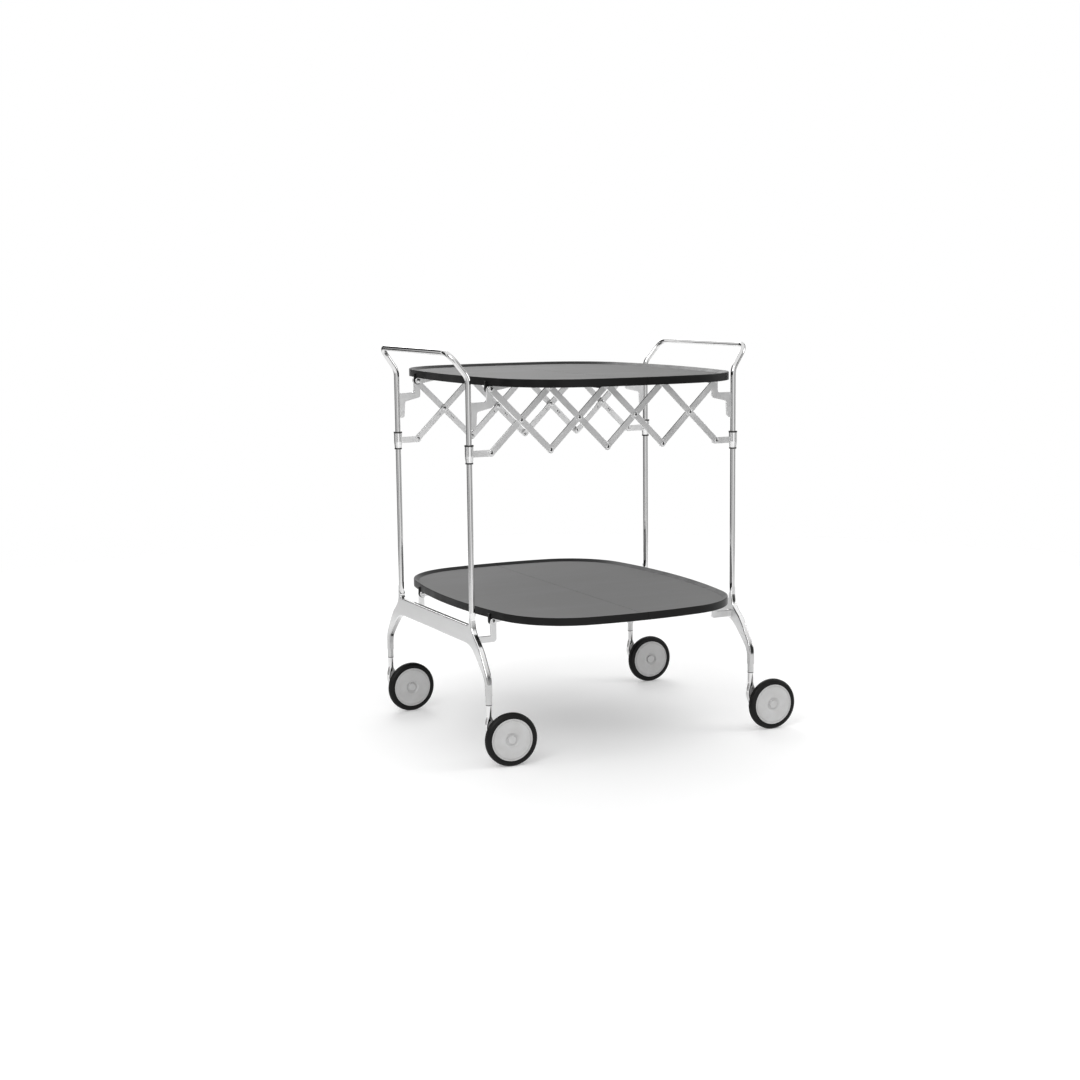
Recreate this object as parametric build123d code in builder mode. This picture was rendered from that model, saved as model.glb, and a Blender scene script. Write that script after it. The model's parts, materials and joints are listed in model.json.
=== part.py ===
from build123d import *
from math import acos, atan2, cos, degrees, hypot, pi, radians, sin, sqrt
import os

# Folding serving trolley, millimetres, +Z up. X runs from the left side frame to the right one,
# Y from front to back. The origin is under the middle of the whole cart, on the floor.

# ---- driving dimensions -------------------------------------------------------------------------
leg_x = 270.0            # half the spacing of the two side frames
leg_y = 166.0            # half the spacing of the two legs of one frame
stem_y = 232.0           # half the spacing of the caster stems of one frame
tube_r = 5.0             # frame tube
tube_wall = 1.0
knee_z = 670.7           # where the legs turn out to the handle
handle_z = 714.8         # centre line of the handle bar
handle_out = 33.0        # how far the handle stands out from its legs
handle_in = 8.0          # how much narrower the handle bar is than the legs, each end
knee_bend = 30.0
corner_bend = 24.0

cast_t = 10.4            # thickness of the side casting
bar_top = 235.0          # crossbar of the side casting
bar_bottom = 202.0
seam_high = 259.0        # slanted joint between tube and casting, outer and inner end
seam_low = 243.0
seam_slope = (seam_high - seam_low) / (2 * tube_r)
foot_bottom = 106.6
foot_r = 5.7
bush_r = 4.0
bush_len = 26.0
bush_flange = 1.2
fit = 0.05               # radial running clearance
air = 0.3                # gap between pieces that move past each other

pin_x = 229.3            # tray hinge pins, from the middle
upper_z = 650.3          # upper tray's hinge axis
lower_z = 239.5          # lower tray's hinge axis
collar_z = 538.8         # linkage pivot on the sliding collars
pin_r = 2.5
bracket_t = 4.0
neck = 6.2               # half width of a bracket where it holds the pin
arm_high = 628.0         # upper bracket: top of its arm, underside of its arm, lower end
arm_low = 611.5
bracket_foot = 581.0
limb = 11.6              # width of the L-shaped lower bracket
edge_round = 0.4         # softened edges of the flat bars and brackets
link_w = 11.6
link_t = 2.5
head_r = 3.9
head_h = 1.5

collar_top = 554.7
collar_bottom = 521.5
collar_r = 7.6
collar_foot_r = 6.4
ring_h = 2.6
ring_out = 0.5           # how far the dark rings stand proud of the collar

tray_a = 246.2           # half width of a tray at its middle
tray_b = 319.7           # half depth of a tray at its middle
tray_side_r = 1080.0     # bow of the two short sides
tray_front_r = 832.0     # bow of the front and back edges
tray_corner_r = 138.5
rim_low = 6.5            # heights above the hinge axis
rim_high = 20.5
floor_high = 15.5
floor_t = 3.2
rim_t = 2.6
cove = 8.0               # width of the slope from the rim down to the floor
crease_gap = 0.3
rib_t = 2.2
rib_low = 8.5
rib_rows = (-248, -196, -100, 0, 100, 196, 248)
rib_columns = (rib_t / 2, 96, 176)
lug_r = 7.0
lug_t = 5.0
knuckle_y = 131.0
knuckle_t = 9.0
knuckle_r = 7.4

wheel_r = 47.5
hub_r = 37.5
wheel_face = 33.0        # wheel's outer face, from the stem axis
wheel_w = 15.0
button_r = 7.3           # middle of the hub, the dish round it
dish_r = 12.9
dish_depth = 3.0
trail = 31.2             # wheel axle behind the stem axis
axle_r = 3.0
arm_top = 105.1
arm_r = 5.3
swivels = {"left_back": 1.9, "left_front": -5.7, "right_back": -2.1, "right_front": -3.1}

# The wheels all trail to +X, so the frames stand a little to -X of the middle of the whole box.
wheel_reach = leg_x + (trail + wheel_r) * cos(radians(2.1)) - (wheel_face - wheel_w) * sin(radians(2.1))
handle_reach = leg_x + handle_out + tube_r
mid_x = (handle_reach - wheel_reach) / 2

bracket_in = leg_y - bracket_t / 2
bracket_out = leg_y + bracket_t / 2
inner_link = bracket_out + air                # B bars lie against the brackets
outer_link = inner_link + link_t + air        # A bars lie over the B bars
link_end = outer_link + link_t
lug_out = bracket_in - air
lug_in = lug_out - lug_t
pitch = pin_x / 2                             # spacing of the pivots along the linkage
cross_z = (upper_z + collar_z) / 2
left = mid_x - leg_x
left_pin = mid_x - pin_x
middle = Plane.YZ.offset(mid_x)               # mirrors left pieces to the right
os.makedirs("parts", exist_ok=True)
made = []


def keep(builder, name):
    """Label a finished piece and write it as its own node."""
    builder.part.label = name
    export_step(builder.part, f"parts/{name}.step")
    made.append(name)
    return builder.part


def front(distance):
    """Plane facing the front, this far in front of the middle: X right, Z up."""
    return Plane.XZ.offset(distance)


def plate_edges():
    """Outlines of the front and back faces of the flat piece being built, without its holes."""
    by_depth = faces().sort_by(Axis.Y)
    return by_depth[0].outer_wire().edges() + by_depth[-1].outer_wire().edges()


def keep_mirrored(piece, name, about):
    """Write the mirror image of a finished piece as its own node."""
    with BuildPart() as image:
        mirror(piece, about=about)
    return keep(image, name)


def keep_four(piece, name):
    """Write a left front piece and its three mirror images."""
    back = keep_mirrored(piece, f"{name}_left_back", Plane.XZ)
    keep_mirrored(piece, f"{name}_right_front", middle)
    keep_mirrored(back, f"{name}_right_back", middle)


# ---- frame tubes: two legs and the handle, bent from one tube ------------------------------------
with BuildPart() as frame_tube:
    out = left - handle_out
    bar_y = leg_y - handle_in
    leg_foot = seam_low - 8
    with BuildLine() as run:
        FilletPolyline(
            (left, -leg_y, leg_foot), (left, -leg_y, knee_z), (out, -bar_y, handle_z),
            (out, bar_y, handle_z), (left, leg_y, knee_z), (left, leg_y, leg_foot),
            radius=[knee_bend, corner_bend, corner_bend, knee_bend])
    with BuildSketch(Plane((left, -leg_y, leg_foot), x_dir=(1, 0, 0), z_dir=(0, 0, 1))):
        Circle(tube_r)
        Circle(tube_r - tube_wall, mode=Mode.SUBTRACT)
    sweep(path=run.line)
    # the slanted joint to the casting
    reach = 4.0
    with BuildSketch(Plane.YZ.offset(left)):
        with BuildLine():
            Polyline(
                (leg_y - tube_r - reach, seam_low - 60), (leg_y + tube_r + reach, seam_low - 60),
                (leg_y + tube_r + reach, seam_high + reach * seam_slope),
                (leg_y - tube_r - reach, seam_low - reach * seam_slope), close=True)
        make_face()
        mirror(about=Plane.YZ)
    extrude(amount=2 * tube_r, both=True, mode=Mode.SUBTRACT)
tube_left = keep(frame_tube, "frame_tube_left")
keep_mirrored(tube_left, "frame_tube_right", middle)

# ---- side castings: crossbar running out into two curved feet ------------------------------------
flush = 0.1             # the casting stands this far proud of the tube
edge = tube_r + flush
with BuildPart() as casting:
    with BuildSketch(Plane.YZ.offset(left)):
        with BuildLine():
            top = Line((0, bar_top), (leg_y - edge - 9, bar_top))
            up = Line((leg_y - edge, bar_top + 6), (leg_y - edge, seam_low - 2 * flush * seam_slope))
            Spline(top @ 1, up @ 0, tangents=[(1, 0), (0, 1)])
            seam = Line(up @ 1, (leg_y + edge, seam_high))
            drop = Line(seam @ 1, (leg_y + edge, seam_high - 14))
            Spline(drop @ 1, (197, 207), (226, 170), (stem_y + foot_r, 138), tangents=[(0, -1), (0, -1)])
            outer = Line((stem_y + foot_r, 138), (stem_y + foot_r, 122))
            sole = Line(outer @ 1, (stem_y - foot_r, 122))
            inner = Line(sole @ 1, (stem_y - foot_r, 134))
            Spline(inner @ 1, (212, 162), (182, 189), (136, bar_bottom), tangents=[(0, 1), (-1, 0)])
            Line((136, bar_bottom), (0, bar_bottom))
            Line((0, bar_bottom), (0, bar_top))
        make_face()
        mirror(about=Plane.YZ)
    extrude(amount=cast_t / 2, both=True)
    long_edges = [e for e in edges() if e.length > 20 and abs(e.center().X - left) > cast_t / 2 - 0.01]
    fillet(long_edges, radius=2.2)
    for side in (-1, 1):
        with BuildSketch(Plane.XY.offset(foot_bottom)):
            with Locations((left, side * stem_y)):
                Circle(foot_r)
        extrude(amount=34)
        with BuildSketch(Plane.XY.offset(foot_bottom)):
            with Locations((left, side * stem_y)):
                Circle(bush_r + fit)
        extrude(amount=bush_len + 0.2, mode=Mode.SUBTRACT)
        with BuildSketch(Plane.XY.offset(bar_top)):
            with Locations((left, side * leg_y)):
                Circle(tube_r - tube_wall - fit)
        extrude(amount=60)
casting_left = keep(casting, "side_casting_left")
keep_mirrored(casting_left, "side_casting_right", middle)

# ---- plastic bushes that the caster stems turn in ------------------------------------------------
with BuildPart() as bushes:
    for side in (-1, 1):
        with BuildSketch(Plane.XY.offset(foot_bottom - bush_flange)):
            with Locations((left, side * stem_y)):
                Circle(foot_r)
        extrude(amount=bush_flange)
        with BuildSketch(Plane.XY.offset(foot_bottom)):
            with Locations((left, side * stem_y)):
                Circle(bush_r)
        extrude(amount=bush_len)
        with BuildSketch(Plane.XY.offset(foot_bottom - bush_flange)):
            with Locations((left, side * stem_y)):
                Circle(axle_r + fit)
        extrude(amount=bush_flange + bush_len, mode=Mode.SUBTRACT)
bushes_left = keep(bushes, "foot_bushes_left")
keep_mirrored(bushes_left, "foot_bushes_right", middle)

# ---- upper brackets: from the leg to the upper tray's hinge pin ----------------------------------
leg_face = left + tube_r - 0.4
with BuildPart() as upper_bracket:
    with BuildSketch(front(bracket_in)):
        with BuildLine():
            Polyline(
                (leg_face, bracket_foot), (leg_face, arm_high), (left_pin - neck, arm_high),
                (left_pin - neck, upper_z), (left_pin + neck, upper_z), (left_pin + neck, arm_low + 7),
                (left_pin - 25, arm_low), (left_pin - 27, bracket_foot), close=True)
        make_face()
        with Locations((left_pin, upper_z)):
            Circle(neck)
        corners = [v for v in vertices() if v.Z < arm_high + 1 and v.X > leg_face + 1]
        fillet(corners, radius=5.0)
        with Locations((left_pin, upper_z)):
            Circle(pin_r + fit, mode=Mode.SUBTRACT)
    extrude(amount=bracket_t)
    fillet(plate_edges(), radius=edge_round)
    # the plate is cut to the tube it is welded to
    with BuildSketch(Plane.XY.offset(570)):
        with Locations((left, -leg_y)):
            Circle(tube_r)
    extrude(amount=60, mode=Mode.SUBTRACT)
upper_bracket_left = keep(upper_bracket, "upper_bracket_left_front")
keep_four(upper_bracket_left, "upper_bracket")

# ---- lower brackets: L-shaped, from the casting to the lower tray's hinge pin --------------------
with BuildPart() as lower_bracket:
    face = left + cast_t / 2
    with BuildSketch(front(bracket_in)):
        with BuildLine():
            Polyline(
                (face, bar_bottom + 0.5), (left_pin + limb / 2, bar_bottom + 0.5),
                (left_pin + limb / 2, lower_z), (left_pin - limb / 2, lower_z),
                (left_pin - limb / 2, bar_bottom + 0.5 + limb), (face, bar_bottom + 0.5 + limb), close=True)
        make_face()
        with Locations((left_pin, lower_z)):
            Circle(limb / 2)
        outside = [v for v in vertices() if v.Z < bar_bottom + 1 and v.X > left_pin]
        fillet(outside, radius=6.5)
        inside = [v for v in vertices() if bar_bottom + 5 < v.Z < lower_z - 5 and v.X > face + 1]
        fillet([v for v in inside if v.X < left_pin], radius=2.0)
        with Locations((left_pin, lower_z)):
            Circle(pin_r + fit, mode=Mode.SUBTRACT)
    extrude(amount=bracket_t)
    fillet(plate_edges(), radius=edge_round)
    # foot plate that is screwed to the casting
    with BuildSketch(Plane.YZ.offset(face)):
        with Locations((-leg_y, bar_bottom + 0.5 + limb / 2)):
            RectangleRounded(14, limb + 3, 2)
    extrude(amount=2)
lower_bracket_left = keep(lower_bracket, "lower_bracket_left_front")
keep_four(lower_bracket_left, "lower_bracket")


# ---- hinge pins: they carry the trays, and the upper ones the first bar of the linkage too -------
def hinge_pins(name, x, bar_layer):
    """Four pins of one frame. bar_layer is the near face of the linkage bar on the upper pins."""
    bar_far = bar_layer + link_t
    with BuildPart() as pins:
        for z, far in ((upper_z, bar_far + fit), (lower_z, bracket_out)):
            with BuildSketch(front(lug_in - air)):
                with Locations((x, z)):
                    Circle(pin_r)
            extrude(amount=far - lug_in + air + head_h)
            with BuildSketch(front(lug_in - air - head_h)):
                with Locations((x, z)):
                    Circle(head_r)
            extrude(amount=head_h)
            with BuildSketch(front(far)):
                with Locations((x, z)):
                    Circle(head_r)
                    SlotOverall(5.2, 0.9, mode=Mode.SUBTRACT)
            extrude(amount=head_h)
            with BuildSketch(front(far)):
                with Locations((x, z)):
                    Circle(head_r)
            extrude(amount=head_h / 2)
        if bar_layer > bracket_out + link_t:
            with BuildSketch(front(bracket_out)):
                with Locations((x, upper_z)):
                    Circle(head_r)
            extrude(amount=bar_layer - fit - bracket_out)
        mirror(about=Plane.XZ)
    keep(pins, name)


hinge_pins("hinge_pins_left", left_pin, outer_link)
hinge_pins("hinge_pins_right", mid_x + pin_x, inner_link)


# ---- sliding collars with the linkage's lower end plates -----------------------------------------
def collar(name, side):
    """One front collar; side is -1 for the left frame and 1 for the right one."""
    leg = mid_x + side * leg_x
    pin = mid_x + side * pin_x
    with BuildPart() as sleeve:
        with BuildSketch(Plane.XZ.offset(leg_y)):
            with BuildLine():
                Polyline(
                    (leg, collar_bottom + ring_h), (leg + collar_foot_r, collar_bottom + ring_h),
                    (leg + collar_r, collar_bottom + 14), (leg + collar_r, collar_top - ring_h),
                    (leg, collar_top - ring_h), close=True)
            make_face()
        revolve(axis=Axis((leg, -leg_y, 0), (0, 0, 1)))
        with BuildSketch(front(bracket_in)):
            with Locations((pin, collar_z)):
                Circle(link_w / 2)
            with Locations(((pin + leg) / 2, collar_z)):
                Rectangle(leg_x - pin_x, link_w)
        extrude(amount=bracket_t)
        with BuildSketch(front(bracket_in)):
            with Locations((pin, collar_z)):
                Circle(pin_r + fit)
        extrude(amount=bracket_t, mode=Mode.SUBTRACT)
        with BuildSketch(Plane.XY.offset(collar_bottom)):
            with Locations((leg, -leg_y)):
                Circle(tube_r + air)
        extrude(amount=collar_top - collar_bottom, mode=Mode.SUBTRACT)
    return keep(sleeve, name)


def collar_rings(name, side):
    """Dark end rings of one frame's two collars."""
    leg = mid_x + side * leg_x
    with BuildPart() as rings:
        for height, radius in ((collar_bottom, collar_foot_r), (collar_top - ring_h, collar_r)):
            with BuildSketch(Plane.XY.offset(height)):
                with Locations((leg, -leg_y), (leg, leg_y)):
                    Circle(radius + ring_out)
                    Circle(tube_r + 0.12, mode=Mode.SUBTRACT)
            extrude(amount=ring_h)
    keep(rings, name)


def rivet(x, z, near, far, near_head=True, far_head=True):
    """One rivet in front of the middle, from plane near to plane far, with a slotted head at far."""
    with BuildPart() as one:
        with BuildSketch(front(near)):
            with Locations((x, z)):
                Circle(pin_r)
        extrude(amount=far - near)
        if near_head:
            with BuildSketch(front(near - head_h)):
                with Locations((x, z)):
                    Circle(head_r)
            extrude(amount=head_h)
        if far_head:
            with BuildSketch(front(far)):
                with Locations((x, z)):
                    Circle(head_r)
            extrude(amount=head_h / 2)
            with BuildSketch(front(far + head_h / 2)):
                with Locations((x, z)):
                    Circle(head_r)
                    SlotOverall(5.2, 0.9, mode=Mode.SUBTRACT)
            extrude(amount=head_h / 2)
    return one.part


for side, word, layer in ((-1, "left", inner_link), (1, "right", outer_link)):
    front_collar = collar(f"collar_{word}_front", side)
    keep_mirrored(front_collar, f"collar_{word}_back", Plane.XZ)
    collar_rings(f"collar_rings_{word}", side)
    pin = mid_x + side * pin_x
    with BuildPart() as collar_pins:
        add(rivet(pin, collar_z, bracket_in - fit, layer + link_t + fit))
        if layer == outer_link:
            with BuildSketch(front(bracket_out + fit)):
                with Locations((pin, collar_z)):
                    Circle(head_r)
            extrude(amount=layer - bracket_out - 2 * fit)
        mirror(about=Plane.XZ)
    keep(collar_pins, f"collar_pins_{word}")


# ---- linkage: four crossing pairs at the front and four at the back ------------------------------
def link(name, x0, z0, x1, z1, layer):
    """A pair of straight bars, front and back, with round ends and three pivot holes."""
    length = hypot(x1 - x0, z1 - z0)
    tilt = degrees(atan2(z1 - z0, x1 - x0))
    centre = ((x0 + x1) / 2, (z0 + z1) / 2)
    with BuildPart() as bars:
        with BuildSketch(front(layer)):
            with Locations(Location((*centre, 0), (0, 0, tilt))):
                SlotCenterToCenter(length, link_w)
                with Locations((-length / 2, 0), (0, 0), (length / 2, 0)):
                    Circle(pin_r + fit, mode=Mode.SUBTRACT)
        extrude(amount=link_t)
        fillet(plate_edges(), radius=edge_round)
        mirror(about=Plane.XZ)
    keep(bars, name)


for number in range(1, 5):
    x_near = mid_x - pin_x + (number - 1) * pitch
    x_far = x_near + pitch
    link(f"link_a{number}", x_near, upper_z, x_far, collar_z, outer_link)
    link(f"link_b{number}", x_near, collar_z, x_far, upper_z, inner_link)

inner_face = inner_link - fit
outer_face = link_end + fit


def rivets(name, whole, outer_only=(), inner_only=()):
    """Rivets that ride on one bar: through both bars, or in one bar only where the chain parts."""
    with BuildPart() as group:
        for x, z in whole:
            add(rivet(mid_x + x, z, inner_face, outer_face))
        for x, z in outer_only:
            add(rivet(mid_x + x, z, outer_link, outer_face, near_head=False))
        for x, z in inner_only:
            add(rivet(mid_x + x, z, inner_face, inner_link + link_t, far_head=False))
        mirror(about=Plane.XZ)
    keep(group, name)


rivets("rivets_a1", [(-1.5 * pitch, cross_z), (-pitch, collar_z)])
rivets("rivets_a2", [(-0.5 * pitch, cross_z), (-pitch, upper_z)], outer_only=[(0, collar_z)])
rivets("rivets_b2", [], inner_only=[(0, upper_z)])
rivets("rivets_a3", [], outer_only=[(0, upper_z)])
rivets("rivets_b3", [(0.5 * pitch, cross_z), (pitch, upper_z)], inner_only=[(0, collar_z)])
rivets("rivets_b4", [(1.5 * pitch, cross_z), (pitch, collar_z)])


# ---- trays ---------------------------------------------------------------------------------------
def half_outline(side, inset):
    """Half of a bowed rectangle with large round corners, up to the crease in the middle.

    The side, the front edge and the corner between them are arcs that run into each other."""
    side_centre = tray_a - tray_side_r
    front_centre = tray_b - tray_front_r
    to_side = tray_side_r - tray_corner_r
    to_front = tray_front_r - tray_corner_r
    apart = hypot(side_centre, front_centre)
    angle = atan2(front_centre, -side_centre)
    angle += acos((to_side**2 + apart**2 - to_front**2) / (2 * to_side * apart))
    corner_x = side_centre + to_side * cos(angle)
    corner_y = to_side * sin(angle)
    low = atan2(corner_y, corner_x - side_centre)
    high = atan2(corner_y - front_centre, corner_x)

    def on_arc(x, y, radius, at):
        return (mid_x + side * (x + (radius - inset) * cos(at)), y + (radius - inset) * sin(at))

    crease = mid_x + side * crease_gap
    front_end = on_arc(0, front_centre, tray_front_r, high)
    front_mid = on_arc(0, front_centre, tray_front_r, (high + pi / 2) / 2)
    side_end = on_arc(side_centre, 0, tray_side_r, low)
    side_mid = on_arc(side_centre, 0, tray_side_r, 0)
    corner = on_arc(corner_x, corner_y, tray_corner_r, (low + high) / 2)
    tip = front_centre + sqrt((tray_front_r - inset) ** 2 - crease_gap**2)
    with BuildSketch() as outline:
        with BuildLine():
            ThreePointArc((crease, tip), front_mid, front_end)
            ThreePointArc(front_end, corner, side_end)
            ThreePointArc(side_end, side_mid, (side_end[0], -side_end[1]))
            ThreePointArc((side_end[0], -side_end[1]), (corner[0], -corner[1]), (front_end[0], -front_end[1]))
            ThreePointArc((front_end[0], -front_end[1]), (front_mid[0], -front_mid[1]), (crease, -tip))
            Line((crease, -tip), (crease, tip))
        make_face()
    return outline.sketch


def tray_half(name, axis_z, side):
    """One half of a tray with its hinge lugs, knuckles and ribs; side is -1 left, 1 right."""
    pin = mid_x + side * pin_x
    crease = mid_x + side * crease_gap
    under = axis_z + floor_high - floor_t
    root = under + floor_t / 2
    with BuildPart() as tray:
        with BuildSketch(Plane.XY.offset(axis_z + rim_low)):
            add(half_outline(side, 0))
        extrude(amount=rim_high - rim_low)
        top_edges = edges().group_by(Axis.Z)[-1]
        fillet([e for e in top_edges if abs(e.center().X - crease) > 1], radius=1.2)
        with BuildSketch(Plane.XY.offset(axis_z + floor_high)):
            add(half_outline(side, rim_t + cove))
        with BuildSketch(Plane.XY.offset(axis_z + rim_high)):
            add(half_outline(side, rim_t))
        loft(ruled=True, mode=Mode.SUBTRACT)
        # hollow underside, with ribs across, lengthways and beside the crease
        with BuildSketch(Plane.XY.offset(axis_z + rim_low)):
            add(half_outline(side, rim_t + 0.6))
        extrude(amount=rib_low - rim_low, mode=Mode.SUBTRACT)
        with BuildSketch(Plane.XY.offset(axis_z + rib_low)):
            add(half_outline(side, rim_t + 0.6))
            with Locations(*[(mid_x, y) for y in rib_rows]):
                Rectangle(2 * tray_a, rib_t, mode=Mode.SUBTRACT)
            with Locations(*[(crease + side * x, 0) for x in rib_columns]):
                Rectangle(rib_t, 2 * tray_b, mode=Mode.SUBTRACT)
        extrude(amount=under - axis_z - rib_low, mode=Mode.SUBTRACT)
        # hinge lugs on the frame's pins, at the front and at the back
        for start in (lug_in, -lug_out):
            with BuildSketch(front(start)):
                with Locations((pin, axis_z)):
                    Circle(lug_r)
                with Locations((pin, (axis_z + root) / 2)):
                    Rectangle(2 * lug_r, root - axis_z)
                with Locations((pin, axis_z)):
                    Circle(pin_r + fit, mode=Mode.SUBTRACT)
            extrude(amount=lug_t)
        # knuckles of the crease hinge: the left half's lie outside the right half's
        near = knuckle_y if side < 0 else knuckle_y - knuckle_t - air
        for start in (near, -near - knuckle_t):
            with BuildSketch(front(start)):
                with Locations((mid_x, axis_z)):
                    Circle(knuckle_r)
                with BuildLine():
                    Polyline(
                        (crease, root), (crease + side * 18, root), (mid_x + side * 5, axis_z - 5),
                        (mid_x, axis_z), close=True)
                make_face()
                with Locations((mid_x, axis_z)):
                    Circle(pin_r + fit, mode=Mode.SUBTRACT)
            extrude(amount=knuckle_t)
    keep(tray, name)


def crease_pins(name, axis_z):
    """The two pins that join a tray's halves at the crease."""
    with BuildPart() as pins:
        start = knuckle_y - knuckle_t - air - 1
        with BuildSketch(front(start)):
            with Locations((mid_x, axis_z)):
                Circle(pin_r)
        extrude(amount=2 * knuckle_t + air + 2)
        for head in (start - head_h, start + 2 * knuckle_t + air + 2):
            with BuildSketch(front(head)):
                with Locations((mid_x, axis_z)):
                    Circle(head_r)
            extrude(amount=head_h)
        mirror(about=Plane.XZ)
    keep(pins, name)


for level, axis_z in (("upper", upper_z), ("lower", lower_z)):
    tray_half(f"tray_{level}_left", axis_z, -1)
    tray_half(f"tray_{level}_right", axis_z, 1)
    crease_pins(f"crease_pins_{level}", axis_z)


# ---- casters -------------------------------------------------------------------------------------
def caster(place, stem_x, y, swivel):
    """Arm with stem, axle, hub and tyre of one caster, turned to its rest angle about the stem."""
    along = Vector(cos(radians(swivel)), sin(radians(swivel)), 0)
    out = Vector(sin(radians(swivel)), -cos(radians(swivel)), 0)
    # side view of the caster: X along the trail, Y up, facing the wheel's outer side
    side_view = Plane((stem_x, y, 0), x_dir=along, z_dir=out)
    stem_top = Plane((stem_x, y, 0), x_dir=along, z_dir=(0, 0, 1))
    axle_at = side_view.from_local_coords((trail, wheel_r, 0))
    axle_axis = Axis(axle_at, out)
    # section through the axle: X is the radius, Y the distance along the axle
    section = Plane(axle_at, x_dir=(0, 0, 1), z_dir=Vector(0, 0, 1).cross(out))
    wheel_back = wheel_face - wheel_w
    arm_half = 5.0           # half thickness of the arm's rounded blade
    arm_far = wheel_back - 1.5

    with BuildPart() as arm:
        with BuildSketch(side_view.offset(-arm_half)):
            with BuildLine():
                outer = Spline(
                    (-arm_r, 88), (-8.5, 66), (0, 42), (trail - 2, wheel_r - 12.5),
                    tangents=[(-0.1, -1), (1, -0.15)])
                ThreePointArc(outer @ 1, (trail + 12.5, wheel_r), (trail, wheel_r + 12.5))
                Spline((trail, wheel_r + 12.5), (arm_r + 6, 72), (arm_r, 88), tangents=[(-1, 0.1), (-0.2, 1)])
                Line((arm_r, 88), (-arm_r, 88))
            make_face()
        extrude(amount=2 * arm_half)
        fillet([e for e in edges() if e.length > 30], radius=arm_half - 0.5)
        with BuildSketch(side_view.offset(0)):
            with Locations((trail, wheel_r)):
                Circle(9)
        extrude(amount=arm_far)
        with BuildSketch(stem_top.offset(80)):
            Circle(arm_r)
        extrude(amount=arm_top - 80)
        with BuildSketch(stem_top.offset(arm_top)):
            Circle(axle_r)
        extrude(amount=bush_len)
        with BuildSketch(side_view.offset(-arm_half)):
            with Locations((trail, wheel_r)):
                Circle(axle_r + fit)
        extrude(amount=wheel_face, mode=Mode.SUBTRACT)
    keep(arm, f"caster_arm_{place}")

    with BuildPart() as axle:
        with BuildSketch(side_view.offset(-arm_half - 1.5)):
            with Locations((trail, wheel_r)):
                Circle(5.2)
        extrude(amount=1.5)
        with BuildSketch(side_view.offset(-arm_half)):
            with Locations((trail, wheel_r)):
                Circle(axle_r)
        extrude(amount=arm_half + wheel_face - 5)
    keep(axle, f"caster_axle_{place}")

    with BuildPart() as hub:
        with BuildSketch(section):
            with BuildLine():
                Polyline(
                    (0, wheel_face), (button_r - 0.8, wheel_face), (button_r, wheel_face - 0.7),
                    (button_r + 0.3, wheel_face - dish_depth), (button_r + 2.2, wheel_face - dish_depth),
                    (dish_r, wheel_face - 0.5), (33.4, wheel_face - 0.2),
                    (34.0, wheel_face - 1.0), (35.0, wheel_face - 1.0), (35.6, wheel_face),
                    (hub_r - 0.6, wheel_face), (hub_r, wheel_face - 0.6), (hub_r, wheel_back + 0.6),
                    (hub_r - 2.6, wheel_back + 0.6), (hub_r - 2.6, wheel_face - 5),
                    (8.0, wheel_face - 5), (8.0, wheel_back - 0.9), (axle_r + fit, wheel_back - 0.9),
                    (axle_r + fit, wheel_face - 4.5), (0, wheel_face - 4.5), close=True)
            make_face()
        revolve(axis=axle_axis)
    keep(hub, f"wheel_hub_{place}")

    with BuildPart() as tyre:
        tread = 5.2
        mid = wheel_face - wheel_w / 2
        with BuildSketch(section):
            with BuildLine():
                Line((hub_r, wheel_face - 1.0), (hub_r + 1.2, wheel_face - 0.4))
                Spline(
                    (hub_r + 1.2, wheel_face - 0.4), (wheel_r - 2.6, wheel_face - 1.6),
                    (wheel_r, mid + tread / 2), tangents=[(1, -0.05), (0.12, -1)])
                Line((wheel_r, mid + tread / 2), (wheel_r, mid - tread / 2))
                Spline(
                    (wheel_r, mid - tread / 2), (wheel_r - 2.6, wheel_back + 1.6),
                    (hub_r + 1.2, wheel_back + 0.4), tangents=[(-0.12, -1), (-1, -0.05)])
                Line((hub_r + 1.2, wheel_back + 0.4), (hub_r, wheel_back + 1.0))
                Line((hub_r, wheel_back + 1.0), (hub_r, wheel_face - 1.0))
            make_face()
        revolve(axis=axle_axis)
    keep(tyre, f"tyre_{place}")


for place, swivel in swivels.items():
    stem_x = mid_x + (leg_x if place.startswith("right") else -leg_x)
    y = stem_y if place.endswith("back") else -stem_y
    caster(place, stem_x, y, swivel)

print(len(made), "nodes, frames stand", round(mid_x, 2), "mm from the middle of the box")
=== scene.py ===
import json
import math

import bmesh
import bpy
from mathutils import Matrix, Vector


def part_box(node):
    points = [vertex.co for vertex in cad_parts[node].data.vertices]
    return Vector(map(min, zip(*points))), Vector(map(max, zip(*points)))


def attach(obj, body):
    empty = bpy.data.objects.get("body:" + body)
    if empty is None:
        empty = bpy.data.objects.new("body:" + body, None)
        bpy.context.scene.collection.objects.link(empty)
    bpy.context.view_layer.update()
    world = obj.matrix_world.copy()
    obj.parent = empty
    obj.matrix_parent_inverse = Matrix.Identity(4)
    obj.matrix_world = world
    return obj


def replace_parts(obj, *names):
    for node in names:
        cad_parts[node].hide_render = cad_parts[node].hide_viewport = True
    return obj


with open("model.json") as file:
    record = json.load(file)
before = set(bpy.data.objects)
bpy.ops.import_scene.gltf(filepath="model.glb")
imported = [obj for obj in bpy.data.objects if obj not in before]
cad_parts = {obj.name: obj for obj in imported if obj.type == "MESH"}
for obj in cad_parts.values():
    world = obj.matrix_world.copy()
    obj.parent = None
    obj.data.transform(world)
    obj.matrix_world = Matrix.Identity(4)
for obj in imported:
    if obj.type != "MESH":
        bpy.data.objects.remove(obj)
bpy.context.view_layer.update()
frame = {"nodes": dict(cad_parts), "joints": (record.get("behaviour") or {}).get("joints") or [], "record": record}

# everything is in metres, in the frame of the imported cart

nodes = frame["nodes"]
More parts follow.
